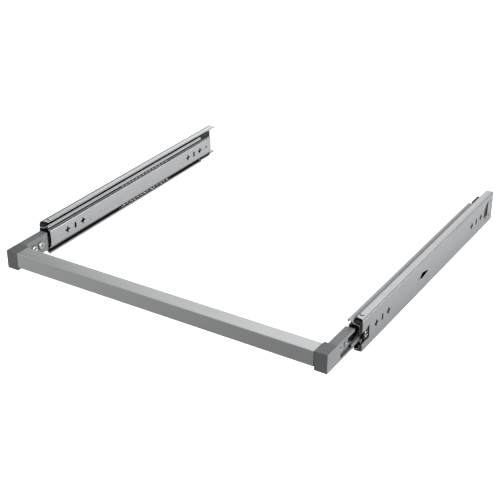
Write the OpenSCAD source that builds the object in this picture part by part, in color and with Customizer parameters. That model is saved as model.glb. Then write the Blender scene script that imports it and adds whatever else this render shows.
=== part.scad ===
// Pull-out frame: two telescopic ball-bearing drawer slides whose drawer members are
// joined at the front by a square aluminium crossbar held in two die-cast corner brackets.
// Every side piece is drawn in slide coordinates: X runs from the cabinet wall towards the
// drawer, Y runs back from the front edge of the slide, Z is measured from mid height.

/* [Layout] */
// Distance between the two cabinet walls that the slides are screwed to
opening_w = 590; // [440:5:1000]
// How far the front of the brackets stands ahead of the cabinet members
front_reach = 88.5; // [80:0.5:160]

/* [Cabinet member] */
// Height of the slide
slide_h = 53; // [52:0.5:58]
// Length of the cabinet member
cabinet_len = 500; // [480:10:600]
// Sheet thickness of the cabinet member
cabinet_t = 1.5; // [1.2:0.1:1.6]
// How far its flanges reach from the cabinet wall
cabinet_flange = 14; // [13.5:0.1:14.5]
// Height of the turned-in lip at the end of each flange
cabinet_lip = 3; // [3:0.1:3.4]
// Slant of that lip, in degrees from upright
lip_slant = 40; // [30:1:42]
// Outside radius of its long bends
cabinet_bend = 2.2; // [2:0.1:3]

/* [Intermediate member] */
// How far it stands ahead of the cabinet member
middle_lead = 4; // [2:0.5:5]
// Length of the intermediate member
middle_len = 444; // [434:5:464]
// Sheet thickness of the intermediate member
middle_t = 1.2; // [1:0.1:1.3]
// Gap between the webs of the cabinet and intermediate members
web_gap = 1.5; // [1.4:0.1:2]
// Outer face of its lip, from the cabinet wall
middle_reach = 22.2; // [22:0.1:22.4]
// Height of the lip edge above mid height
middle_lip_z = 20.5; // [20:0.1:20.8]
// Slope of the wall between the two ball grooves, in degrees
middle_slope = 36; // [34:1:38]

/* [Drawer member] */
// Length of the drawer member
drawer_len = 473; // [460:1:490]
// Sheet thickness of the drawer member
drawer_t = 1.4; // [1.2:0.1:1.5]
// Outer face of the drawer member, from the cabinet wall
slide_w = 22.6; // [22.5:0.1:23.4]
// Half height of its flat face
face_half = 15.6; // [15:0.1:16.2]
// Height of its ball shoulder above mid height
shoulder_z = 19.4; // [19:0.1:19.6]
// Length of the shoulder flange
shoulder_w = 5; // [4:0.5:5.5]

/* [Balls and cages] */
// Diameter of the outer balls
outer_ball_d = 4.6; // [4.3:0.1:4.8]
// Distance of the outer balls from the cabinet wall
outer_ball_u = 8; // [7.5:0.1:8.5]
// Spacing of the outer balls
outer_pitch = 12; // [10:1:14]
// Length of the outer cage
outer_cage_len = 184; // [150:2:190]
// Place of the outer cage behind the slide front
outer_cage_y = 128; // [126:1:132]
// Diameter of the inner balls
inner_ball_d = 3.6; // [3.4:0.1:3.9]
// Spacing of the inner balls
inner_pitch = 10; // [9:1:12]
// Length of the inner cage
inner_cage_len = 158; // [120:2:160]
// Place of the inner cage behind the slide front
inner_cage_y = 182; // [178:1:186]
// Running gap between a ball and its track
race_gap = 0.15; // [0.1:0.01:0.2]
// Sheet thickness of the ball cages
cage_t = 0.5; // [0.4:0.1:0.6]

/* [Screw holes] */
// Size of the four-pointed screw holes, tip to tip
star_w = 12; // [9:0.5:13]
// Width of the upright slots
slot_w = 5; // [3.5:0.1:5.5]
// Height of the upright slots
slot_h = 11; // [8:0.5:13]
// Distance from a star hole to the slot beside it
hole_step = 20; // [16:0.5:22]
// First star hole of the cabinet member
cabinet_front_hole = 45; // [42:1:50]
// First star hole of its rear group, ahead of the rear edge
cabinet_rear_hole = 94; // [90:1:98]
// First star hole of the drawer member
drawer_front_hole = 42; // [42:1:48]
// First star hole of its rear group, ahead of the rear edge
drawer_rear_hole = 78; // [75:1:93]
// Diameter of the plain round screw holes at the rear
rear_hole_d = 4.5; // [3.5:0.1:5]

/* [Crossbar] */
// Outside size of the square tube
bar_w = 25; // [20:0.5:26]
// Wall of the square tube
bar_wall = 2; // [1.5:0.1:2.5]
// Corner radius of the square tube
bar_round = 0.8; // [0.4:0.1:1.2]

/* [Corner brackets] */
// Height of the bracket
bracket_h = 30.8; // [30:0.1:32]
// Width of its cap over the end of the crossbar
cap_w = 20.4; // [18:0.1:24]
// Depth of its cap from front to back
cap_d = 28.6; // [28:0.1:30]
// How far the outer face of the bracket stays inside the cabinet wall
bracket_inset = 8; // [7:0.5:9]
// Height of the bracket base below mid height of the slide
bracket_drop = 15; // [14.4:0.1:15.6]
// Gap between the arm and the front edge of the drawer member
arm_gap = 8.5; // [7:0.5:9]
// Depth of the pocket in the outer face of the arm
pocket_d = 4.5; // [3.5:0.1:5]
// Length of the pocket floor
pocket_len = 30.5; // [30:0.5:34]
// Rim above the pocket
rim_top = 4.6; // [4:0.1:6]
// Rim below the pocket
rim_low = 3.8; // [3.4:0.1:4.4]
// Height of the tongue that runs on from that rim
tongue_h = 6; // [4:0.5:7]
// Bottom of the tongue above the bracket base
tongue_rise = 2.2; // [1.5:0.1:2.8]
// Floor of the hollow behind the pocket, above the bracket base
hollow_rise = 9; // [8:0.5:11]
// Length of the spigot inside the crossbar
spigot_len = 32; // [26:1:45]

/* [Link plate and screws] */
// Thickness of the steel link plate
link_t = 2.4; // [2:0.1:2.6]
// Height of the link plate
link_h = 15; // [14:0.5:15.5]
// How far the link plate runs inside the drawer member
link_in = 33; // [30:1:33]
// Inner wall of the bracket arm that the screws clamp
arm_wall = 4; // [3.6:0.1:4.2]
// Diameter of the bracket screws
screw_d = 6; // [5:0.1:6.3]
// Spacing of the bracket screws
screw_step = 15.6; // [15:0.1:16.5]
// Height of the bracket screws above mid height
screw_z = 0.6; // [0:0.1:1.2]

/* [Plastic parts] */
// Length of the rear bumper
bumper_len = 38; // [36:0.5:40]
// Length of the front guide
guide_len = 28; // [26:0.5:29]

/* [Hidden] */
$fn = 48;
left = -1;
right = 1;
// Straight pieces that stand for each quarter turn of a sheet bend
bend_steps = 6;
// Allowance that cutting shapes run past a surface
over = 1;

// Place of the slide front in the part's own frame
slide_y = (front_reach - cabinet_len) / 2;
half_h = slide_h / 2;

// Outer race: a ball between the cabinet flange and the groove of the intermediate member
outer_ball_z = half_h - cabinet_t - race_gap - outer_ball_d / 2;
groove_z = outer_ball_z - outer_ball_d / 2 - race_gap;
middle_web_u = cabinet_t + web_gap;

// Inner race: a ball in the hook of the intermediate member, on the drawer member's shoulder
inner_ball_u = middle_reach - middle_t - race_gap - inner_ball_d / 2;
shoulder_r = 1;
shoulder_u = inner_ball_u + 0.05;
shoulder_top_r = shoulder_r + drawer_t / 2;
shoulder_centre = [shoulder_u - shoulder_r, shoulder_z - shoulder_top_r];
inner_reach = shoulder_top_r + race_gap + inner_ball_d / 2;
inner_ball_z = shoulder_centre[1] + sqrt(pow(inner_reach, 2) - pow(inner_ball_u - shoulder_centre[0], 2));

// Sloping wall of the intermediate member, which lies just clear of the inner balls
slope_off = inner_ball_d / 2 + race_gap + middle_t / 2;
slope_u = inner_ball_u - slope_off * sin(middle_slope);
slope_z = inner_ball_z + slope_off * cos(middle_slope);
lip_u = middle_reach - middle_t / 2;
crest_z = slope_z + (lip_u - slope_u) * tan(middle_slope);
groove_mid_z = groove_z - middle_t / 2;
groove_end_u = slope_u + (groove_mid_z - slope_z) / tan(middle_slope);

// Lip of the cabinet flange, bent back at a sharp angle
lip_bend = cabinet_t / 2 + 0.15;
lip_corner_u = cabinet_flange - lip_bend - cabinet_t / 2 + lip_bend * tan(45 + lip_slant / 2);
lip_end_z = half_h - cabinet_lip + cabinet_t / 2 * sin(lip_slant);
lip_end_u = lip_corner_u - (half_h - cabinet_t / 2 - lip_end_z) * tan(lip_slant);

// Upper halves of the sheet sections: points on the middle of the sheet, with bend radii
cabinet_half = [
  [lip_end_u, lip_end_z, 0],
  [lip_corner_u, half_h - cabinet_t / 2, lip_bend],
  [cabinet_t / 2, half_h - cabinet_t / 2, cabinet_bend - cabinet_t / 2]];
middle_half = [
  [lip_u, middle_lip_z, 0],
  [lip_u, crest_z, 1.1],
  [groove_end_u, groove_mid_z, 1.8],
  [middle_web_u + middle_t / 2, groove_mid_z, 1.6]];
face_bend = slide_w - drawer_t / 2 - shoulder_u - shoulder_r - 0.1;
drawer_half = [
  [shoulder_u - shoulder_w + drawer_t / 2, shoulder_z - drawer_t / 2, 0],
  [shoulder_u, shoulder_z - drawer_t / 2, shoulder_r],
  [shoulder_u, face_half - drawer_t / 2, shoulder_r],
  [slide_w - drawer_t / 2, face_half - drawer_t / 2, face_bend]];

// Outer cage: a channel between the webs, with its ball strips level with the balls
cage_u = cabinet_t + (web_gap - cage_t) / 2 - 0.1;
outer_strip_w = 9;
outer_cage_half = [
  [cage_u + outer_strip_w, outer_ball_z, 0],
  [cage_u + cage_t / 2, outer_ball_z, 1.2]];
// Inner cage: a flat strip under the inner balls with a row of fingers before the shoulder
inner_strip_z = inner_ball_z - 0.9;
finger_u = (shoulder_u + drawer_t / 2 + middle_reach - middle_t) / 2;
finger_low_z = face_half + 0.8;

// Bracket arm and link plate
arm_low = -bracket_drop;
pocket_r = 4;
arm_high = bracket_h - bracket_drop;
arm_end = -arm_gap;
floor_u = bracket_inset + pocket_d;
pocket_reach = 41.5;
pocket_front = arm_end - pocket_reach;
pocket_back = pocket_front + pocket_len;
pocket_h = bracket_h - rim_top - rim_low;
hollow_low = arm_low + hollow_rise;
hollow_slant = 5;
tongue_front = pocket_back + 3;
tongue_end = 20;
plate_gap = 0.1;
plate_u = slide_w - arm_wall - plate_gap - link_t;
plate_in_u = slide_w - drawer_t - link_t;
plate_front = pocket_front + 3;
screw_back = pocket_back - 6.8;
screw_fit = 0.2;
plate_mid_z = screw_z - 3;
head_d = screw_d * 2.1;
head_h = screw_d * 0.57;
head_edge = 0.7;
nut_d = screw_d * 1.7;
nut_h = 1.2;
sleeve_d = screw_d + 2.4;
sleeve_len = 3;
link_rivet_front = 11;
link_rivet_step = 14;
link_rivet_y = [link_rivet_front, link_rivet_front + link_rivet_step];
link_rivet_d = 4;
bar_low = arm_high - 0.5 - bar_w;
bar_mid_z = bar_low + bar_w / 2;
bar_end_gap = 0.3;
bar_half = opening_w / 2 - bracket_inset - cap_w - bar_end_gap;
grub_d = 5;
grub_in = 14;

// Openings of the cabinet member, as outlines in Y and Z: the last four from the rear edge
notch = [[-over, -12], [22.5, -12], [22.5, 9.5], [17, 8.5], [12, 6.5], [-over, 6.5]];
hook_opening = [[190, 0.2], [199, 0.2], [203, -4], [213.5, -1.6], [225, -0.5], [225, 1.8], [218, 4.2],
  [210.5, 5.6], [204.5, 6.8], [200, 4.4], [198.5, 1.8], [190, 1.2]];
rear_opening = [[-39, -9], [-23, -9], [-23, 10], [-21, 17.5], [-25, 17.5], [-33.5, 11], [-39, 3]];
rear_slit = [[-34.5, -13.6], [-23.5, -13.6], [-23.5, -12.4], [-34.5, -12.4]];
small_hole = [-14.5, -11.5];
dot_hole = [-11.5, 14.2];
crescent = [8.8, 14.5];
crescent_r = 3.5;
crescent_w = 2.3;
// Front edge of the flange: how far it is set back at its root and at its lip
flange_root = 2.5;
flange_cut = 6.5;
// Front opening of the intermediate member for the tongue of the bracket: its end, bottom and top
front_opening = [11.5, -14, 4];

// Plain vector helpers
function unit(v) = v / norm(v);
function left_of(v) = [-v[1], v[0]];
function flat2(p) = [p[0], p[1]];
function turned(v, a) = [v[0] * cos(a) - v[1] * sin(a), v[0] * sin(a) + v[1] * cos(a)];
function turn_of(a, b) = atan2(a[0] * b[1] - a[1] * b[0], a * b);
function reversed(list) = [for (k = [len(list) - 1 : -1 : 0]) list[k]];

// Rounded corner at q between p and s, moved off to the left of the path
function corner(p, q, s, r, off) =
  let (d1 = unit(q - p), d2 = unit(s - q), a = turn_of(d1, d2), turn_sign = a > 0 ? 1 : -1)
  let (rr = r - turn_sign * off, n = max(2, ceil(bend_steps * abs(a) / 90)))
  let (mitre = q + off * (left_of(d1) + left_of(d2)) / (1 + d1 * d2))
  let (start = mitre - rr * tan(abs(a) / 2) * d1, spoke = -turn_sign * rr * left_of(d1))
  [for (k = [0 : n]) start - spoke + turned(spoke, a * k / n)];

// One face of a bent sheet whose middle follows the path
function sheet_face(path, off) =
  let (last = len(path) - 1, pts = [for (p = path) flat2(p)])
  concat([pts[0] + off * left_of(unit(pts[1] - pts[0]))],
    [for (k = [1 : last - 1]) each corner(pts[k - 1], pts[k], pts[k + 1], path[k][2], off)],
    [pts[last] + off * left_of(unit(pts[last] - pts[last - 1]))]);

// Closed outline of a bent sheet
function sheet_outline(path, t) = concat(sheet_face(path, t / 2), reversed(sheet_face(path, -t / 2)));

// Whole section from its upper half
function both_halves(half) = concat(half, [for (p = reversed(half)) [p[0], -p[1], p[2]]]);

// Outline of a four-pointed star whose straight arms taper from the core to the tips
star_tip = 1.8;
star_core = 4.4;
function star_points(w) = [for (k = [0 : 3])
  each [for (p = [[w, -star_tip], [w, star_tip], [star_core, star_core]]) turned(p / 2, 90 * k)]];

// Puts a piece drawn in slide coordinates on the left or right cabinet wall
module on_side(s) {
  translate([s * opening_w / 2, slide_y, half_h])
    mirror([s + 1, 0, 0])
      children();
}

// Runs an outline in X and Z back along Y
module run_back(y, length) {
  translate([0, y + length, 0])
    rotate([90, 0, 0])
      linear_extrude(length)
        children();
}

// Cuts an outline in Y and Z through a sheet from u to u + depth
module through_web(u, depth) {
  translate([u, 0, 0])
    rotate([90, 0, 90])
      linear_extrude(depth)
        children();
}

module slot_shape(w, h) {
  for (e = [-1, 1])
    translate([0, e * (h - w) / 2])
      circle(d = w);
  square([w, h - w], center = true);
}

// Star, slot and star in a row, the first star at y
module hole_group(y) {
  for (k = [0, 2])
    translate([y + k * hole_step, 0])
      polygon(star_points(star_w));
  translate([y + hole_step, 0])
    slot_shape(slot_w, slot_h);
}

module bent_sheet(half, t, length) {
  run_back(0, length)
    polygon(sheet_outline(both_halves(half), t));
}

module cabinet_member() {
  crescent_in = crescent_r * 0.85;
  color("#b9bcbf")
  difference() {
    bent_sheet(cabinet_half, cabinet_t, cabinet_len);
    through_web(-over, cabinet_t + 2 * over) {
      hole_group(cabinet_front_hole);
      hole_group(cabinet_len - cabinet_rear_hole);
      polygon(notch);
      polygon(hook_opening);
      translate([cabinet_len, 0]) {
        polygon(rear_opening);
        polygon(rear_slit);
        translate(dot_hole)
          circle(d = rear_hole_d);
        translate(small_hole)
          circle(d = rear_hole_d * 0.8);
      }
    }
    for (m = [0, 1])
      mirror([0, 0, m]) {
        // Crescent that is pierced in the flange near the front
        translate([crescent[0], crescent[1], half_h - cabinet_t - over])
          difference() {
            cylinder(r = crescent_r, h = cabinet_t + 2 * over);
            translate([0, crescent_w + crescent_in - crescent_r, -over])
              cylinder(r = crescent_in, h = cabinet_t + 4 * over);
          }
        // Slanted front edge of the flange
        translate([0, 0, half_h - cabinet_lip - over])
          linear_extrude(cabinet_lip + 2 * over)
            polygon([[cabinet_t, -over], [cabinet_flange + over, -over], [cabinet_flange + over, flange_cut],
              [cabinet_t, flange_root]]);
      }
  }
}

module intermediate_member() {
  access_h = 13;
  access_more = 9;
  access_edge = 7;
  color("#c3c6c9")
  difference() {
    translate([0, -middle_lead, 0])
      bent_sheet(middle_half, middle_t, middle_len);
    through_web(middle_web_u - over, middle_t + 2 * over) {
      // Access slots that let the screwdriver reach the cabinet screws
      for (s = [[cabinet_front_hole - access_more, cabinet_front_hole + 2 * hole_step + access_more],
          [hook_opening[0][0] - access_more / 2, hook_opening[4][0] + access_more / 2],
          [cabinet_len - cabinet_rear_hole - access_more, middle_len - middle_lead - access_edge]])
        translate([(s[0] + s[1]) / 2, 0])
          rotate(90)
            slot_shape(access_h, s[1] - s[0]);
      // Hole for the rivet of the front guide
      translate(rivet_place)
        circle(d = rivet_d + 0.2);
      translate([-middle_lead - over, front_opening[1]])
        square([front_opening[0] + middle_lead + over, front_opening[2] - front_opening[1]]);
    }
  }
}

module drawer_member() {
  drawer_last_hole = 16;
  dimple_y = 257;
  dimple_d = 6;
  dimple_depth = 0.3;
  color("#cccfd1")
  difference() {
    bent_sheet(drawer_half, drawer_t, drawer_len);
    through_web(slide_w - drawer_t - over, drawer_t + 2 * over) {
      hole_group(drawer_front_hole);
      hole_group(drawer_len - drawer_rear_hole);
    }
    // Plain screw hole at the rear
    translate([slide_w - drawer_t - over, drawer_len - drawer_last_hole, 0])
      rotate([0, 90, 0])
        cylinder(d = rear_hole_d, h = drawer_t + 2 * over);
    // Shallow dimple at mid length
    translate([slide_w - dimple_depth, dimple_y, 0])
      rotate([0, 90, 0])
        cylinder(d = dimple_d, h = over);
    // Holes for the link rivets
    for (y = link_rivet_y)
      translate([slide_w - drawer_t - over, y, screw_z])
        rotate([0, 90, 0])
          cylinder(d = link_rivet_d + 0.1, h = drawer_t + 2 * over);
  }
}

function row_count(length, pitch) = floor((length - 10) / pitch) + 1;
function row_start(y, length, pitch) = y + (length - (row_count(length, pitch) - 1) * pitch) / 2;

// Balls in two rows, above and below mid height
module ball_rows(u, z, d, y, length, pitch) {
  for (k = [0 : row_count(length, pitch) - 1])
    for (m = [-1, 1])
      translate([u, row_start(y, length, pitch) + k * pitch, m * z])
        sphere(d = d);
}

// Round pockets for two rows of balls
module ball_pockets(u, z, d, t, y, length, pitch) {
  for (k = [0 : row_count(length, pitch) - 1])
    for (m = [-1, 1])
      translate([u, row_start(y, length, pitch) + k * pitch, m * z - t])
        cylinder(d = d, h = 2 * t);
}

module outer_cage() {
  web_half = outer_ball_z - 7;
  end_bridge = 12;
  color("#9c9fa2")
  difference() {
    translate([0, outer_cage_y, 0])
      bent_sheet(outer_cage_half, cage_t, outer_cage_len);
    ball_pockets(outer_ball_u, outer_ball_z, outer_ball_d + 0.2, cage_t, outer_cage_y, outer_cage_len,
      outer_pitch);
    // Window in the web, which leaves a bridge at each end
    translate([0, outer_cage_y + end_bridge, -web_half])
      cube([cage_u + cage_t + over, outer_cage_len - 2 * end_bridge, 2 * web_half]);
  }
}

module outer_balls() {
  color("#dfe1e3")
  ball_rows(outer_ball_u, outer_ball_z, outer_ball_d, outer_cage_y, outer_cage_len, outer_pitch);
}

module inner_cage() {
  strip_w = 5.2;
  finger_w = inner_pitch * 0.5;
  color("#8f9295")
  for (m = [0, 1])
    mirror([0, 0, m])
      difference() {
        union() {
          translate([finger_u - strip_w + cage_t / 2, inner_cage_y, inner_strip_z - cage_t / 2])
            cube([strip_w, inner_cage_len, cage_t]);
          // Fingers between the balls
          for (k = [0 : row_count(inner_cage_len, inner_pitch) - 2])
            translate([finger_u - cage_t / 2,
                row_start(inner_cage_y, inner_cage_len, inner_pitch) + (k + 0.5) * inner_pitch - finger_w / 2,
                finger_low_z])
              cube([cage_t, finger_w, inner_strip_z - finger_low_z]);
        }
        ball_pockets(inner_ball_u, inner_strip_z, inner_ball_d + 0.1, cage_t, inner_cage_y,
          inner_cage_len, inner_pitch);
      }
}

module inner_balls() {
  color("#dfe1e3")
  ball_rows(inner_ball_u, inner_ball_z, inner_ball_d, inner_cage_y, inner_cage_len, inner_pitch);
}

// Bumper that stops both moving members at the back of the cabinet member
bumper_gap = 6;
bumper_clear = 0.3;
module rear_bumper() {
  wing_low = shoulder_z + 0.5;
  body_half = half_h - cabinet_t - bumper_clear;
  wing_top = half_h - cabinet_t - 1;
  back_u = shoulder_u - shoulder_w - 0.8;
  start = middle_len - middle_lead + bumper_gap;
  relief_u = lip_end_u - cabinet_t - bumper_clear;
  color("#1c1c1e")
  difference() {
    union() {
      translate([cabinet_t, start, -body_half])
        cube([back_u - cabinet_t, bumper_len, 2 * body_half]);
      // Wings that catch the hooks of the intermediate member
      for (m = [0, 1])
        mirror([0, 0, m])
          translate([back_u - over, start, wing_low])
            cube([shoulder_u - back_u + over, bumper_len - 10, wing_top - wing_low]);
    }
    // Relief between the wings and the flange lips
    for (m = [0, 1])
      mirror([0, 0, m]) {
        translate([relief_u, start - over, half_h - cabinet_lip - bumper_clear])
          cube([cabinet_flange + bumper_clear - relief_u, bumper_len + 2 * over, cabinet_lip + bumper_clear]);
        translate([cabinet_t - over, start - over, half_h - cabinet_bend - 0.4])
          cube([cabinet_bend - cabinet_t + over, bumper_len + 2 * over, cabinet_bend]);
      }
    // Hollow moulding, open at the back
    translate([cabinet_t + 2, start + 3, -body_half + 4])
      cube([back_u - cabinet_t - 4, bumper_len, 2 * body_half - 8]);
  }
}

// Front guide: a moulded saddle that wraps the front opening of the intermediate member
rivet_place = [guide_len - 11, -4.5];
rivet_d = 7;
rivet_seat = 0.5;
rivet_flange_d = rivet_d * 1.35;
guide_face = cabinet_t + 0.3;
guide_back = 1;
guide_wrap = 1.5;
guide_fit = 0.1;
module front_guide() {
  setback = 1.5;
  front = -middle_lead + setback;
  pad_end = guide_len - middle_lead - setback;
  block_len = guide_len - 11;
  block_top = half_h - cabinet_t - 1.6;
  edge = front_opening[0] - guide_wrap;
  opening_low = front_opening[1] + guide_fit;
  opening_h = front_opening[2] - front_opening[1] - 2 * guide_fit;
  back_u = middle_web_u + middle_t;
  color("#232325")
  difference() {
    union() {
      translate([guide_face, front, -groove_z])
        cube([middle_web_u - guide_face, pad_end - front, 2 * groove_z]);
      // Blocks that run between the groove and the cabinet flange
      for (m = [0, 1])
        mirror([0, 0, m])
          translate([guide_face, front, groove_z])
            cube([groove_end_u - 1.5 - guide_face, block_len, block_top - groove_z]);
      // Wrap round the edge of the opening, and a plate behind the rivet
      translate([guide_face, edge, opening_low])
        cube([back_u + guide_back - guide_face, guide_wrap - guide_fit, opening_h]);
      translate([back_u, edge, rivet_place[1] - rivet_flange_d / 2])
        cube([guide_back, pad_end - edge, rivet_flange_d]);
    }
    // Opening that the tongue passes
    translate([guide_face - over, front - over, opening_low])
      cube([middle_web_u - guide_face + 2 * over, edge - front + over, opening_h]);
    through_web(guide_face - over, back_u - guide_face + over)
      translate(rivet_place)
        circle(d = rivet_d + 0.2);
    through_web(guide_face - over, middle_web_u - guide_face - rivet_seat + over)
      translate(rivet_place)
        circle(d = rivet_flange_d + 0.4);
  }
}

// Tubular rivet that holds the front guide
module guide_rivet() {
  flange_t = 0.6;
  face_u = middle_web_u - rivet_seat - flange_t;
  color("#e6e8ea")
  difference() {
    union() {
      through_web(face_u, middle_web_u + middle_t - face_u)
        translate(rivet_place)
          circle(d = rivet_d);
      through_web(face_u, flange_t)
        translate(rivet_place)
          circle(d = rivet_flange_d);
    }
    through_web(face_u - over, middle_t + 4 * over)
      translate(rivet_place)
        circle(d = rivet_d * 0.76);
  }
}

module screw_places() {
  for (k = [0, 1])
    translate([0, screw_back - k * screw_step, screw_z])
      rotate([0, 90, 0])
        children();
}

// Outline of the pocket, from its front edge to past the end of the arm
module pocket_shape(front) {
  for (z = [pocket_r, pocket_h - pocket_r])
    translate([front + pocket_r, arm_low + rim_low + z])
      circle(r = pocket_r);
  translate([front, arm_low + rim_low + pocket_r])
    square([pocket_r, pocket_h - 2 * pocket_r]);
  translate([front + pocket_r, arm_low + rim_low])
    square([arm_end - front - pocket_r + over, pocket_h]);
}

module bracket() {
  cap_front = -front_reach;
  color("#56585b")
  union() {
    bracket_casting(cap_front);
    // Tongue of the lower rim, which runs on into the slide
    translate([bracket_inset, tongue_front, arm_low + tongue_rise])
      cube([pocket_d, tongue_end - tongue_front, tongue_h]);
  }
}

module bracket_casting(cap_front) {
  difference() {
    union() {
      // Cap over the end of the crossbar
      translate([bracket_inset, cap_front, arm_low])
        cube([cap_w, cap_d, bracket_h]);
      // Arm that runs back to the slide
      translate([bracket_inset, cap_front + cap_d - over, arm_low])
        cube([slide_w - bracket_inset, arm_end - cap_front - cap_d + over, bracket_h]);
      // Spigot inside the crossbar
      translate([bracket_inset + cap_w - over, cap_front + bar_wall + 0.2, bar_low + bar_wall + 0.2])
        cube([spigot_len + over, bar_w - 2 * bar_wall - 0.4, bar_w - 2 * bar_wall - 0.4]);
    }
    // Pocket in the outer face, rounded at the front and open to the back
    through_web(bracket_inset - over, pocket_d + over)
      pocket_shape(pocket_front);
    // Hollow behind the pocket floor
    through_web(bracket_inset - over, slide_w - arm_wall - bracket_inset + over)
      polygon([[pocket_back, arm_high - rim_top], [pocket_back, hollow_low + hollow_slant],
        [pocket_back + hollow_slant, hollow_low], [arm_end + over, hollow_low],
        [arm_end + over, arm_high - rim_top]]);
    // Slit for the link plate
    translate([plate_u - plate_gap, plate_front - 0.5, plate_mid_z - link_h / 2 - plate_gap])
      cube([link_t + 2 * plate_gap, arm_end - plate_front + 2, link_h + 2 * plate_gap]);
    screw_places()
      cylinder(d = screw_d + 2 * screw_fit, h = slide_w + over);
    screw_places()
      cylinder(d = sleeve_d + screw_fit, h = floor_u + sleeve_len);
    // Tapped hole for the grub screw under the crossbar
    translate([bracket_inset + cap_w + grub_in, cap_front + bar_w / 2, bar_low])
      cylinder(d = grub_d + 0.1, h = bar_w / 2);
  }
}

module link_plate() {
  jog_front = 0;
  jog_back = 5;
  color("#7c7f82")
  difference() {
    translate([0, 0, plate_mid_z - link_h / 2])
      linear_extrude(link_h)
        polygon([[plate_u, plate_front], [plate_u + link_t, plate_front], [plate_u + link_t, jog_front],
          [plate_in_u + link_t, jog_back], [plate_in_u + link_t, link_in], [plate_in_u, link_in],
          [plate_in_u, jog_back + 1], [plate_u, jog_front + 1]]);
    screw_places()
      cylinder(d = screw_d + 2 * screw_fit, h = slide_w + over);
    for (y = link_rivet_y)
      translate([plate_in_u - over, y, screw_z])
        rotate([0, 90, 0])
          cylinder(d = link_rivet_d + 0.1, h = link_t + 2 * over);
  }
}

// Pan-head screws whose heads sit on the inner face of the arm
module bracket_screws() {
  tip_u = floor_u + 1.4;
  color("#d5d7d9")
  screw_places()
    difference() {
      union() {
        translate([0, 0, tip_u])
          cylinder(d = screw_d, h = slide_w - tip_u);
        translate([0, 0, slide_w])
          cylinder(d = head_d, h = head_h - head_edge);
        translate([0, 0, slide_w + head_h - head_edge])
          cylinder(d1 = head_d, d2 = head_d - 2 * head_edge, h = head_edge);
      }
      // Hexagon socket
      translate([0, 0, slide_w + head_h * 0.3])
        cylinder(d = screw_d * 0.86, h = head_h, $fn = 6);
    }
}

// Sleeve nuts with a flange on the floor of the pocket
module bracket_nuts() {
  color("#d9dbdd")
  screw_places()
    translate([0, 0, floor_u - nut_h])
      difference() {
        union() {
          cylinder(d = nut_d, h = nut_h);
          cylinder(d = sleeve_d, h = nut_h + sleeve_len - screw_fit / 2);
        }
        translate([0, 0, -over])
          cylinder(d = screw_d + screw_fit / 2, h = nut_h + sleeve_len + 2 * over);
      }
}

// Flush rivets between the link plate and the drawer member
module link_rivets() {
  rivet_head = 1.2;
  color("#c9ccce")
  for (y = link_rivet_y)
    translate([plate_in_u, y, screw_z])
      rotate([0, 90, 0]) {
        cylinder(d = link_rivet_d, h = slide_w - plate_in_u);
        translate([0, 0, -rivet_head])
          cylinder(d = link_rivet_d * 1.8, h = rivet_head);
      }
}

module crossbar() {
  color("#a9acaf")
  translate([0, slide_y - front_reach, half_h + bar_low])
    difference() {
      translate([-bar_half, 0, 0])
        rotate([90, 0, 90])
          linear_extrude(2 * bar_half)
            difference() {
              translate([bar_round, bar_round]) {
                square(bar_w - 2 * bar_round);
                translate([-bar_round, 0])
                  square([bar_w, bar_w - 2 * bar_round]);
                translate([0, -bar_round])
                  square([bar_w - 2 * bar_round, bar_w]);
                for (x = [0, 1], y = [0, 1])
                  translate([x * (bar_w - 2 * bar_round), y * (bar_w - 2 * bar_round)])
                    circle(r = bar_round);
              }
              translate([bar_wall, bar_wall])
                square(bar_w - 2 * bar_wall);
            }
      // Holes for the grub screws in the underside
      for (s = [-1, 1])
        translate([s * (bar_half + bar_end_gap - grub_in), bar_w / 2, -over])
          cylinder(d = grub_d + 0.4, h = bar_wall + 2 * over);
    }
}

// Grub screws that lock the crossbar on its spigots
module crossbar_screws() {
  color("#3a3b3d")
  for (s = [-1, 1])
    translate([s * (bar_half + bar_end_gap - grub_in), slide_y - front_reach + bar_w / 2,
        half_h + bar_low + 0.4])
      difference() {
        cylinder(d = grub_d, h = bar_w / 2 - 1);
        translate([0, 0, -over])
          cylinder(d = grub_d * 0.55, h = 2.5 + over, $fn = 6);
      }
}

crossbar();
crossbar_screws();
on_side(left) bracket();  // left_bracket
on_side(left) link_plate();  // left_link_plate
on_side(left) bracket_screws();  // left_bracket_screws
on_side(left) bracket_nuts();  // left_bracket_nuts
on_side(left) link_rivets();  // left_link_rivets
on_side(left) drawer_member();  // left_drawer_member
on_side(left) intermediate_member();  // left_intermediate_member
on_side(left) cabinet_member();  // left_cabinet_member
on_side(left) outer_cage();  // left_outer_cage
on_side(left) outer_balls();  // left_outer_balls
on_side(left) inner_cage();  // left_inner_cage
on_side(left) inner_balls();  // left_inner_balls
on_side(left) rear_bumper();  // left_rear_bumper
on_side(left) front_guide();  // left_front_guide
on_side(left) guide_rivet();  // left_guide_rivet
on_side(right) bracket();  // right_bracket
on_side(right) link_plate();  // right_link_plate
on_side(right) bracket_screws();  // right_bracket_screws
on_side(right) bracket_nuts();  // right_bracket_nuts
on_side(right) link_rivets();  // right_link_rivets
on_side(right) drawer_member();  // right_drawer_member
on_side(right) intermediate_member();  // right_intermediate_member
on_side(right) cabinet_member();  // right_cabinet_member
on_side(right) outer_cage();  // right_outer_cage
on_side(right) outer_balls();  // right_outer_balls
on_side(right) inner_cage();  // right_inner_cage
on_side(right) inner_balls();  // right_inner_balls
on_side(right) rear_bumper();  // right_rear_bumper
on_side(right) front_guide();  // right_front_guide
on_side(right) guide_rivet();  // right_guide_rivet
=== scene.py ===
import math

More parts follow.
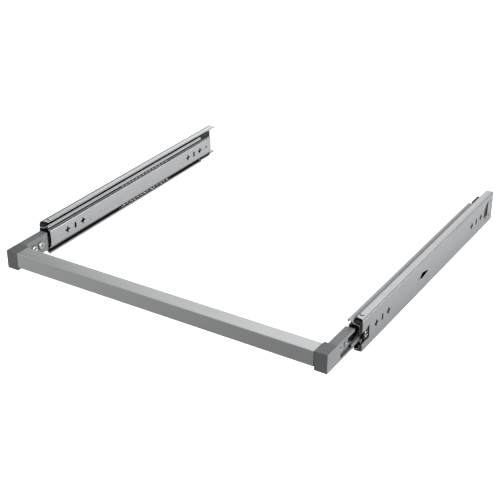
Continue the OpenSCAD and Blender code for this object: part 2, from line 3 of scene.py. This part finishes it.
import bmesh
import bpy
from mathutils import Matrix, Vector


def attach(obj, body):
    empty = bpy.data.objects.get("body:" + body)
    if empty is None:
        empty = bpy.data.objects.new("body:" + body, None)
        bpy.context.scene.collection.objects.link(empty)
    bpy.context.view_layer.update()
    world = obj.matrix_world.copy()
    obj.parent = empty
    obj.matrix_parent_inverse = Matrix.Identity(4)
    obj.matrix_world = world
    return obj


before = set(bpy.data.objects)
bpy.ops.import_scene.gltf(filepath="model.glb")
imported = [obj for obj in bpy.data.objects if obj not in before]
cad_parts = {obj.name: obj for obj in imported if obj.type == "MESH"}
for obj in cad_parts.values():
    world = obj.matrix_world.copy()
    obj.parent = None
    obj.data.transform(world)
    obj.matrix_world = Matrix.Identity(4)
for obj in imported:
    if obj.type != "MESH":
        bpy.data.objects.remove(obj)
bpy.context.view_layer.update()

print("frame loaded:", len(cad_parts), "nodes")

# the camera, found from the edges of the real frame: metres, degrees and millimetres of lens
camera = {
    "place": (0.8697, -1.4357, 0.8807),
    "tilt": 62.04,
    "swing": 31.71,
    "lens": 81.64,
    "sensor": 36,
    "farthest": 50,
}


def makeCamera():
    data = bpy.data.cameras.new("camera")
    data.lens = camera["lens"]
    data.sensor_width = camera["sensor"]
    data.clip_end = camera["farthest"]
    seen = bpy.data.objects.new("camera", data)
    seen.location = camera["place"]
    seen.rotation_euler = (math.radians(camera["tilt"]), 0, math.radians(camera["swing"]))
    bpy.context.scene.collection.objects.link(seen)
    bpy.context.scene.camera = seen


makeCamera()
print("camera made")

# a slide's own frame in millimetres: the cabinet wall, the slide's front end and its mid height
slide = {"wall": 295, "front": 205.75, "middle": 26.5}


def pick(sockets, name):
    # a socket by its number, identifier or name
    if isinstance(name, int):
        return sockets[name]
    return next(s for s in sockets if name in (s.identifier, s.name))


class Value:
    # one number over the surface, so that shader maths reads as plain expressions
    def __init__(self, bench, socket):
        self.bench = bench
        self.socket = socket

    def __add__(self, other):
        return self.bench.number("ADD", self, other)

    def __radd__(self, other):
        return self.bench.number("ADD", self, other)

    def __sub__(self, other):
        return self.bench.number("SUBTRACT", self, other)

    def __rsub__(self, other):
        return self.bench.number("SUBTRACT", other, self)

    def __mul__(self, other):
        return self.bench.number("MULTIPLY", self, other)

    def __rmul__(self, other):
        return self.bench.number("MULTIPLY", self, other)

    def absolute(self):
        return self.bench.number("ABSOLUTE", self)

    def sway(self, amount):
        # up and down from 0 by half the amount
        return (self - 0.5) * amount

    def above(self, low, high):
        # 0 under low, 1 over high, smooth between
        span = {"interpolation_type": "SMOOTHSTEP", "clamp": True}
        sockets = {"Value": self, "From Min": low, "From Max": high, "To Min": 0, "To Max": 1}
        return self.bench.make("ShaderNodeMapRange", span, sockets, "Result")

    def between(self, low, high, softLow, softHigh):
        # 1 from low to high, 0 outside, soft at both ends
        start = self.above(low - softLow, low + softLow)
        return start * (1 - self.above(high - softHigh, high + softHigh))

    def clamped(self):
        return self.bench.make("ShaderNodeClamp", {}, {"Value": self}, "Result")


class Bench:
    # the few tools that build a tree of shader nodes
    def __init__(self, tree):
        self.nodes = tree.nodes
        self.links = tree.links

    def plug(self, node, name, value):
        socket = pick(node.inputs, name)
        if isinstance(value, Value):
            self.links.new(value.socket, socket)
        else:
            socket.default_value = value

    def make(self, kind, settings, sockets, result=0):
        node = self.nodes.new(kind)
        for name, choice in settings.items():
            setattr(node, name, choice)
        for name, value in sockets.items():
            self.plug(node, name, value)
        return Value(self, pick(node.outputs, result))

    def number(self, operation, *values):
        return self.make("ShaderNodeMath", {"operation": operation}, dict(enumerate(values)))

    def place(self, x=1, y=1, z=1):
        # the row frame in millimetres, stretched by x, y and z
        here = self.make("ShaderNodeTexCoord", {}, {}, "Object")
        mm = (1000 * x, 1000 * y, 1000 * z)
        return self.make("ShaderNodeVectorMath", {"operation": "MULTIPLY"}, {0: here, 1: mm}, "Vector")

    def axis(self, letter, vector):
        return self.make("ShaderNodeSeparateXYZ", {}, {"Vector": vector}, letter)

    def normal(self):
        return self.make("ShaderNodeNewGeometry", {}, {}, "Normal")

    def noise(self, where, scale, detail=3, rough=0.55, warp=0):
        sockets = {"Vector": where, "Scale": scale, "Detail": detail, "Roughness": rough, "Distortion": warp}
        return self.make("ShaderNodeTexNoise", {}, sockets, "Fac")

    def shade(self, factor, low, high):
        low, high = [c if isinstance(c, Value) else (*c, 1) for c in (low, high)]
        sockets = {"Factor_Float": factor, "A_Color": low, "B_Color": high}
        return self.make("ShaderNodeMix", {"data_type": "RGBA"}, sockets, "Result_Color")

    def blend(self, factor, low, high):
        sockets = {"Factor_Float": factor, "A_Float": low, "B_Float": high}
        return self.make("ShaderNodeMix", {"data_type": "FLOAT"}, sockets, "Result_Float")

    def tinted(self, tone, tint):
        # black at 0, the tint at 1
        return self.shade(tone.clamped(), (0, 0, 0), tint)

    def edges(self, reach):
        # 1 on edges that a hand or a tool rubs, 0 on open faces
        rounded = self.make("ShaderNodeBevel", {"samples": 4}, {"Radius": reach / 1000})
        sockets = {0: rounded, 1: self.normal()}
        same = self.make("ShaderNodeVectorMath", {"operation": "DOT_PRODUCT"}, sockets, "Value")
        return (1 - same).above(0.01, 0.16)

    def hollows(self, reach):
        # 0 in corners and inside folds, 1 in the open
        return self.make("ShaderNodeAmbientOcclusion", {"samples": 6}, {"Distance": reach / 1000}, "AO")

    def bump(self, height, strength, depth, over=None):
        sockets = {"Height": height, "Strength": strength, "Distance": depth / 1000}
        if over is not None:
            sockets["Normal"] = over
        return self.make("ShaderNodeBump", {}, sockets, "Normal")


class Finish(Bench):
    # a material with one main shader, whose sockets are named with _ for a space
    def __init__(self, name, **even):
        self.material = bpy.data.materials.new(name)
        self.material.use_nodes = True
        super().__init__(self.material.node_tree)
        self.nodes.clear()
        self.shader = self.nodes.new("ShaderNodeBsdfPrincipled")
        out = self.nodes.new("ShaderNodeOutputMaterial")
        self.links.new(self.shader.outputs["BSDF"], out.inputs["Surface"])
        self.wear(**even)

    def wear(self, **fed):
        for name, value in fed.items():
            self.plug(self.shader, name.replace("_", " "), value)
        return self.material


# zinc plated sheet of the rolled members
zinc = {
    # each row's last number is painted shade: how far hollows, hole walls and folds are darkened
    "cabinet": dict(level=0.46, cloud=0.14, streak=0.14, roll=0.26, fall=0.20, rough=0.32, hollowShade=0.98),
    # painted light: a brighter copy of the cabinet zinc for the left member
    "leftCabinetLit": dict(level=0.62, cloud=0.14, streak=0.14, roll=0.26, fall=0.22, rough=0.34, hollowShade=0.98),
    "middle": dict(level=0.60, cloud=0.10, streak=0.16, roll=0.30, fall=0.0, rough=0.27, hollowShade=0.98),
    "drawer": dict(level=0.585, cloud=0.12, streak=0.10, roll=0.12, fall=0.06, rough=0.36, hollowShade=0.97),
}
# what the members share: noises with their scale, detail, roughness and warp, how much of them shows,
# and reaches and heights in millimetres
plating = {
    "cloud": (0.035, 4, 0.6, 0.6),
    "streak": (1.6, 5, 0.7),
    "drawn": (5.0, 2, 0.6),
    "rolled": (0.42, 3, 0.75),
    "grain": (3.5, 3, 0.7),
    "spangle": 0.28,
    "flakeShows": 0.035,
    "drawnShows": 0.10,
    "grainShows": 0.08,
    "rubbed": 0.16,
    "edge": 0.35,
    "hollow": 7,
    "shadow": (2, 44),
    "tint": (0.985, 1.0, 1.02),
}
# painted shade: a dark line along a rolled edge, where the gap beside it lies in shadow: from and to, in from
# the wall and then away from mid height
shadeLine = {
    "shade": 0.97,
    "leftCabinetLit": ((-9, 4.1), (25.6, 99)),
    "middle": ((21.2, 99), (12.0, 22.1)),
    "drawer": ((18.0, 99), (16.8, 99)),
}


def zincFinish(name, member):
    look = zinc[member]
    f = Finish(name, Specular_IOR_Level=0.1, Anisotropic=0.3)
    here = f.place()
    cloud = f.noise(here, *plating["cloud"])
    cells = {"Vector": here, "Scale": plating["spangle"]}
    spangle = f.make("ShaderNodeTexVoronoi", {"feature": "F1"}, cells, "Color")
    flake = f.make("ShaderNodeSeparateColor", {}, {"Color": spangle}, "Red")
    streak = f.noise(f.place(1, 0.02, 1), *plating["streak"])
    drawn = f.noise(f.place(1, 0.006, 1), *plating["drawn"])
    rolled = f.noise(f.place(1, 0.0015, 1), *plating["rolled"])
    grain = f.noise(here, *plating["grain"])
    height = f.axis("Z", here)
    worn = f.edges(plating["edge"])
    clear = f.hollows(plating["hollow"])
    facing = f.axis("X", f.normal())
    cut = (1 - facing * facing).above(0.45, 0.85)  # painted shade: walls of punched holes and insides of folds are darkened and dulled sooner where occluded
    unshaded = f.blend(cut, clear.above(0.42, 0.88), clear.above(0.50, 0.95))
    shadedLine = 0
    # painted shade: a dark band along the shaded gap beside a rolled edge
    if member in shadeLine:
        inward, upward = shadeLine[member]
        shadedLine = (slide["wall"] - f.axis("X", here).absolute()).between(*inward, 0.4, 0.4)
        shadedLine = shadedLine * (height - slide["middle"]).absolute().between(*upward, 0.4, 0.2)
    tone = look["level"] * (1 - look["cloud"] / 2) + cloud * look["cloud"] * look["level"]
    tone = tone + flake.sway(plating["flakeShows"]) + streak.sway(look["streak"])
    tone = tone + drawn.sway(plating["drawnShows"]) + grain.sway(plating["grainShows"])
    tone = tone + rolled.sway(look["roll"]) + worn * plating["rubbed"]
    tone = tone * (1 - look["fall"] + look["fall"] * height.above(*plating["shadow"]))  # darker low down
    # painted shade: darkened in hollows, hole walls and folds, and along the shaded line; dulled there
    # through Metallic too
    tone = tone * (1 - look["hollowShade"] + look["hollowShade"] * unshaded) * (1 - shadeLine["shade"] * shadedLine)
    rough = look["rough"] + cloud.sway(0.14) + streak.sway(0.16) + flake.sway(0.04) - worn * 0.08
    lines = f.bump(streak + drawn * 0.6 + rolled, 0.35, 0.03)
    return f.wear(
        Base_Color=f.tinted(tone, plating["tint"]),
        Roughness=rough.clamped(),
        Metallic=unshaded.above(0.0, 0.35) * (1 - shadedLine),
        Normal=f.bump(grain, 0.25, 0.02, lines),
    )


# anodised bar, drawn along its length; painted shade: a dark band at each cut end stands in for the shadow in
# the gap against the caps
bar = {
    "level": 0.465,
    "rough": 0.30,
    "end": 265.5,
    "endShade": 0.7,
    "die": (2.2, 5, 0.7),
    "fine": (7.0, 2, 0.6),
    "cloud": (0.02, 3, 0.5, 0.4),
    "grain": (6.0, 2, 0.6),
    "edge": 0.5,
    "tint": (0.99, 1.0, 1.01),
}


def barFinish():
    f = Finish("barAluminium", Metallic=1.0, Anisotropic=0.2)
    here = f.place()
    die = f.noise(f.place(0.004, 1, 1), *bar["die"])
    fine = f.noise(f.place(0.02, 1, 1), *bar["fine"])
    cloud = f.noise(here, *bar["cloud"])
    grain = f.noise(here, *bar["grain"])
    worn = f.edges(bar["edge"])
    # painted shade: a dark band at each end of the bar
    endShade = f.axis("X", here).absolute().above(bar["end"] - 0.2, bar["end"] + 0.2)
    tone = bar["level"] + die.sway(0.06) + fine.sway(0.03) + cloud.sway(0.05) + grain.sway(0.03) + worn * 0.12
    tone = tone * (1 - bar["endShade"] * endShade)
    rough = bar["rough"] + cloud.sway(0.10) + grain.sway(0.08) - worn * 0.08
    lines = f.bump(die + fine * 0.5, 0.3, 0.02)
    return f.wear(
        Base_Color=f.tinted(tone, bar["tint"]),
        Roughness=rough.clamped(),
        Normal=f.bump(grain, 0.2, 0.015, lines),
    )


# powder coat of the corner brackets, with painted shade on the cap top and in the pocket, and bare metal
# where it chipped
bracket = {
    "level": 0.105,
    "rough": 0.42,
    "speckle": 0.05,
    "capEnd": -265.6,
    "capTopShade": 0.38,
    "pocket": 0.75,
    "peel": (1.1, 3, 0.6),
    "speck": (4.0, 2, 0.7),
    "cloud": (0.05, 3, 0.5),
    "chip": (1.3, 4, 0.75),
    "edge": 0.4,
    "hollow": 14,
    "tint": (0.97, 1.0, 1.04),
    "metal": (0.40, 0.41, 0.42),
}


def bracketFinish():
    f = Finish("bracketPaint", Specular_IOR_Level=0.6)
    here = f.place()
    peel = f.noise(here, *bracket["peel"])
    speck = f.noise(here, *bracket["speck"]).above(0.42, 0.62)
    cloud = f.noise(here, *bracket["cloud"])
    worn = f.edges(bracket["edge"])
    chips = worn * f.noise(here, *bracket["chip"]).above(0.50, 0.62)
    onCap = (bracket["capEnd"] - f.axis("Y", here)).above(-0.3, 0.3)
    # painted shade: the cap's top faces darkened
    capTopShade = f.axis("Z", f.normal()).above(0.5, 0.8) * onCap
    # painted shade: darkened in the pocket and other hollows
    pocket = 1 - f.hollows(bracket["hollow"]).above(0.45, 0.9)
    tone = bracket["level"] * (0.9 + cloud * 0.2) + speck * bracket["speckle"]
    tone = tone * (1 - bracket["capTopShade"] * capTopShade) * (1 - bracket["pocket"] * pocket)
    rough = bracket["rough"] + speck.sway(0.10) + cloud.sway(0.08) - worn * 0.06
    return f.wear(
        Base_Color=f.shade(chips * 0.8, f.tinted(tone, bracket["tint"]), bracket["metal"]),
        Roughness=rough.clamped(),
        Metallic=chips * 0.9,
        Normal=f.bump(peel + speck * 0.4, 0.35, 0.05),
    )


# small steel parts
steel = {
    "cage": {"level": 0.42, "rough": 0.36, "tint": (0.99, 1.0, 1.0), "scratch": 0.12},
    "balls": {"level": 0.74, "rough": 0.10, "tint": (1.0, 1.0, 1.0), "scratch": 0.04},
    "bright": {"level": 0.62, "rough": 0.28, "tint": (1.0, 0.995, 0.985), "scratch": 0.07},
    # blackened steel, whose near-black tone also stands in for the shade in the hollow around the link plate
    "black": {"level": 0.06, "rough": 0.40, "tint": (0.98, 0.99, 1.02), "scratch": 0.03},
}
steelGrain = {
    "cloud": (0.12, 3, 0.5),
    "scratch": (5.0, 3, 0.7),
    "grain": (5.0, 2, 0.6),
    "edge": 0.25,
    "hollow": 4,
}


def steelFinish(name, look):
    f = Finish(name, Metallic=1.0)
    here = f.place()
    cloud = f.noise(here, *steelGrain["cloud"])
    scratch = f.noise(f.place(1, 0.15, 1), *steelGrain["scratch"])
    grain = f.noise(here, *steelGrain["grain"])
    worn = f.edges(steelGrain["edge"])
    # painted shade: base colour darker in hollows
    clear = f.hollows(steelGrain["hollow"]).above(0.05, 0.7)
    tone = look["level"] * (0.92 + cloud * 0.16) + scratch.sway(look["scratch"]) + worn * 0.10
    rough = look["rough"] + cloud.sway(0.10) + scratch.sway(0.12) - worn * 0.04
    return f.wear(
        Base_Color=f.tinted(tone * (0.35 + 0.65 * clear), look["tint"]),
        Roughness=rough.clamped(),
        Normal=f.bump(scratch + grain, 0.25, 0.015),
    )


# moulded bumpers and guides
plastic = {
    "level": 0.016,
    "rough": 0.56,
    "spark": (3.2, 3, 0.65),
    "flow": (0.3, 3, 0.5, 0.8),
    "edge": 0.4,
    "tint": (1.0, 1.0, 1.02),
}


def plasticFinish():
    f = Finish("blackPlastic", Specular_IOR_Level=0.28)
    spark = f.noise(f.place(), *plastic["spark"])
    flow = f.noise(f.place(0.4, 0.1, 0.4), *plastic["flow"])
    worn = f.edges(plastic["edge"])
    tone = plastic["level"] * (0.8 + flow * 0.5) + worn * 0.03 + spark.sway(0.008)
    rough = plastic["rough"] + flow.sway(0.14) + spark.sway(0.08) - worn * 0.10
    return f.wear(
        Base_Color=f.tinted(tone, plastic["tint"]),
        Roughness=rough.clamped(),
        Normal=f.bump(spark, 0.4, 0.04),
    )


finishes = {
    "zinc_cabinet": zincFinish("zincCabinet", "cabinet"),
    "zinc_middle": zincFinish("zincMiddle", "middle"),
    "zinc_drawer": zincFinish("zincDrawer", "drawer"),
    "bar_aluminium": barFinish(),
    "bracket_paint": bracketFinish(),
    "cage_steel": steelFinish("cageSteel", steel["cage"]),
    "ball_steel": steelFinish("ballSteel", steel["balls"]),
    "bright_steel": steelFinish("brightSteel", steel["bright"]),
    "blackened_steel": steelFinish("blackenedSteel", steel["black"]),
    "black_plastic": plasticFinish(),
}
# painted light: the left cabinet member gets a brighter copy of the same zinc, standing in for the light it
# catches
litCopies = {"left_cabinet_member": zincFinish("zincLeftCabinetLit", "leftCabinetLit")}
print("finishes made:", len(finishes) + len(litCopies))

# how much each kind of piece has its edges rounded, in millimetres
rounding = {
    "zinc_cabinet": 0.12,
    "zinc_middle": 0.16,
    "zinc_drawer": 0.10,
    "bar_aluminium": 0.15,
    "bracket_paint": 0.25,
    "cage_steel": 0.06,
    "bright_steel": 0.2,
    "blackened_steel": 0.2,
    "black_plastic": 0.3,
}
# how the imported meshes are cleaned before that: millimetres and degrees
cleaning = {"merge": 0.002, "flat": 0.3, "sharp": 38, "weight": 80}


def cleanShell():
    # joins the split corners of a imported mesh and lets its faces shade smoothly
    group = bpy.data.node_groups.new("cleanShell", "GeometryNodeTree")
    group.interface.new_socket("Geometry", in_out="INPUT", socket_type="NodeSocketGeometry")
    group.interface.new_socket("Geometry", in_out="OUTPUT", socket_type="NodeSocketGeometry")
    start = group.nodes.new("NodeGroupInput")
    merge = group.nodes.new("GeometryNodeMergeByDistance")
    merge.inputs["Distance"].default_value = cleaning["merge"] / 1000
    plain = group.nodes.new("GeometryNodeRemoveAttribute")
    plain.inputs["Name"].default_value = "custom_normal"
    smooth = group.nodes.new("GeometryNodeSetShadeSmooth")
    end = group.nodes.new("NodeGroupOutput")
    chain = [start, merge, plain, smooth, end]
    for before, after in zip(chain, chain[1:]):
        group.links.new(before.outputs[0], after.inputs[0])
    return group


def softenEdges(item, width):
    soften = item.modifiers.new("soften", "BEVEL")
    soften.width = width / 1000
    soften.segments = 2
    soften.limit_method = "ANGLE"
    level = item.modifiers.new("level", "WEIGHTED_NORMAL")
    level.keep_sharp = False
    return soften, level


def dressNode(name, item, shell):
    slotName = item.material_slots[0].name
    item.material_slots[0].link = "OBJECT"
    item.material_slots[0].material = litCopies.get(name, finishes[slotName])
    join = item.modifiers.new("join", "NODES")
    join.node_group = shell
    if slotName == "ball_steel":
        return
    flat = item.modifiers.new("flat", "DECIMATE")
    flat.decimate_type = "DISSOLVE"
    flat.angle_limit = math.radians(cleaning["flat"])
    soften, level = softenEdges(item, rounding[slotName])
    soften.angle_limit = math.radians(cleaning["sharp"])
    soften.use_clamp_overlap = False
    soften.miter_outer = "MITER_ARC"
    level.weight = cleaning["weight"]


def dressNodes():
    shell = cleanShell()
    for name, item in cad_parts.items():
        dressNode(name, item, shell)


dressNodes()
print("nodes dressed")

# the black guide's thin cap over the front edge of each intermediate member's web, above and below its
# opening: millimetres in from the wall, back from the slide's front and up from its middle
guideCap = {
    "web": (3.0, 4.2),
    "skin": 0.15,
    "front": -4.0,
    "back": -2.6,
    "nose": 0.55,
    "steps": 8,
    "soft": 0.12,
    "spans": {"upper": (4.2, 17.5), "lower": (-17.5, -14.2)},
}


def sidePoint(side, u, y, z):
    # from a slide's own frame to the row frame, left side -1 and right side 1
    return (side * (slide["wall"] - u) / 1000, (y - slide["front"]) / 1000, (z + slide["middle"]) / 1000)


def addPiece(name, body, slotName, points, faces, soft):
    mesh = bpy.data.meshes.new(name)
    mesh.from_pydata(points, [], faces)
    work = bmesh.new()
    work.from_mesh(mesh)
    bmesh.ops.recalc_face_normals(work, faces=work.faces)
    work.to_mesh(mesh)
    work.free()
    mesh.shade_smooth()
    mesh.materials.append(finishes[slotName])
    item = bpy.data.objects.new(name, mesh)
    bpy.context.scene.collection.objects.link(item)
    softenEdges(item, soft)
    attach(item, body)


def drawSolid(low, high):
    # a closed solid between two outlines with the same count of points
    count = len(low)
    faces = [tuple(range(count)), tuple(range(count, 2 * count))]
    faces += [(i, (i + 1) % count, count + (i + 1) % count, count + i) for i in range(count)]
    return low + high, faces


def makeGuideCaps():
    inner, outer = guideCap["web"][0] - guideCap["skin"], guideCap["web"][1] + guideCap["skin"]
    middle, half = (inner + outer) / 2, (outer - inner) / 2
    turns = [math.pi * i / guideCap["steps"] for i in range(guideCap["steps"] + 1)]
    front, nose = guideCap["front"], guideCap["nose"]
    outline = [(middle - half * math.cos(t), front - nose * math.sin(t)) for t in turns]
    outline += [(outer, guideCap["back"]), (inner, guideCap["back"])]
    for word, side in (("left", -1), ("right", 1)):
        for part, span in guideCap["spans"].items():
            low, high = [[sidePoint(side, u, y, z) for u, y in outline] for z in span]
            points, faces = drawSolid(low, high)
            name = f"{word}_guide_cap_{part}"
            addPiece(name, f"{word}_middle", "black_plastic", points, faces, guideCap["soft"])


makeGuideCaps()
print("guide caps made")

# how bright the studio's soft walls are, how far they darken below, and the dark flags between them
studio = {
    "room": 0.40,
    "left": 0.45,
    "back": 0.45,
    "high": 1.1,
    "front": 0.6,
    "low": 0.85,
    "flag": 0.8,
    "rearFlag": 0.6,
    "ceiling": 0.55,
}
# pale floor: half its width and the gap under the frame in metres, and a faint mottle between two greys
paper = {"half": 12, "gap": 0.0004, "mottle": (0.004, 2, 0.5), "dark": 0.80, "light": 0.84}
lamps = {
    "topLight": {"power": 3, "size": (1.6, 1.2), "place": (0.0, 0.3, 2.2), "aim": (0, 0.1, 0)},
    "leftLight": {"power": 0.10, "size": (0.35, 0.6), "place": (-1.18, 1.0, 0.68), "aim": (-0.29, 0.0, 0.05)},
    "rightLight": {"power": 105, "size": (0.9, 1.2), "place": (2.4, 0.1, 0.7), "aim": (0, 0, 0)},
}


def makeRoom():
    world = bpy.data.worlds.new("studio")
    world.use_nodes = True
    b = Bench(world.node_tree)
    towards = b.make("ShaderNodeTexCoord", {}, {}, "Generated")
    x, y, z = [b.axis(letter, towards) for letter in "XYZ"]
    left = (0 - x).above(0.3, 0.8) * (0 - y).above(0.0, 0.6)
    back = y.above(0.3, 0.8) * x.above(-0.65, -0.40)
    high = y.above(0.62, 0.76) * z.above(0.15, 0.45) * (0 - x).above(0.15, 0.45)
    front = (0 - y).above(0.05, 0.5) * z.above(0.05, 0.35)
    level = studio["room"] + left * studio["left"] + back * studio["back"]
    level = level + high * studio["high"] + front * studio["front"]
    level = level * (1 - studio["low"] + studio["low"] * z.above(-0.90, -0.45))  # darker below
    flag = (0 - x).above(0.4, 0.6) * y.above(0.4, 0.7) * (0.15 - z).above(0, 0.2)
    rear = x.above(0.2, 0.35) * y.above(0.80, 0.86) * z.above(0, 0.2)
    ceiling = x.above(-0.35, -0.1) * (0.75 - x).above(0.0, 0.2) * y.above(0.3, 0.5) * z.above(0.50, 0.60)
    level = level * (1 - flag * studio["flag"]) * (1 - rear * studio["rearFlag"])
    level = level * (1 - ceiling * studio["ceiling"])
    seen = b.make("ShaderNodeLightPath", {}, {}, "Is Camera Ray")
    background = world.node_tree.nodes["Background"]
    b.plug(background, "Color", (1, 1, 1, 1))
    b.plug(background, "Strength", b.blend(seen, level, 1.0))
    bpy.context.scene.world = world


def makeFloor():
    f = Finish("floorPaper", Roughness=0.9, Emission_Strength=1.0)
    mottle = f.noise(f.place(), *paper["mottle"])
    white = f.shade(mottle, (paper["dark"],) * 3, (paper["light"],) * 3)
    f.wear(Base_Color=white, Emission_Color=(1, 1, 1, 1))
    half = paper["half"]
    corners = [(-half, -half), (half, -half), (half, half), (-half, half)]
    mesh = bpy.data.meshes.new("floor")
    mesh.from_pydata([(x, y, -paper["gap"]) for x, y in corners], [], [(0, 1, 2, 3)])
    mesh.materials.append(f.material)
    floor = bpy.data.objects.new("floor", mesh)
    floor.visible_glossy = False
    floor.visible_diffuse = False
    floor.visible_shadow = False
    bpy.context.scene.collection.objects.link(floor)


def hangLamp(name, lamp):
    data = bpy.data.lights.new(name, "AREA")
    data.shape = "RECTANGLE"
    data.size, data.size_y = lamp["size"]
    data.energy = lamp["power"]
    item = bpy.data.objects.new(name, data)
    item.location = lamp["place"]
    item.rotation_euler = (Vector(lamp["aim"]) - Vector(lamp["place"])).to_track_quat("-Z", "Y").to_euler()
    bpy.context.scene.collection.objects.link(item)


makeRoom()
makeFloor()
for name, lamp in lamps.items():
    hangLamp(name, lamp)
bpy.context.scene.view_settings.view_transform = "Standard"
print("studio made")
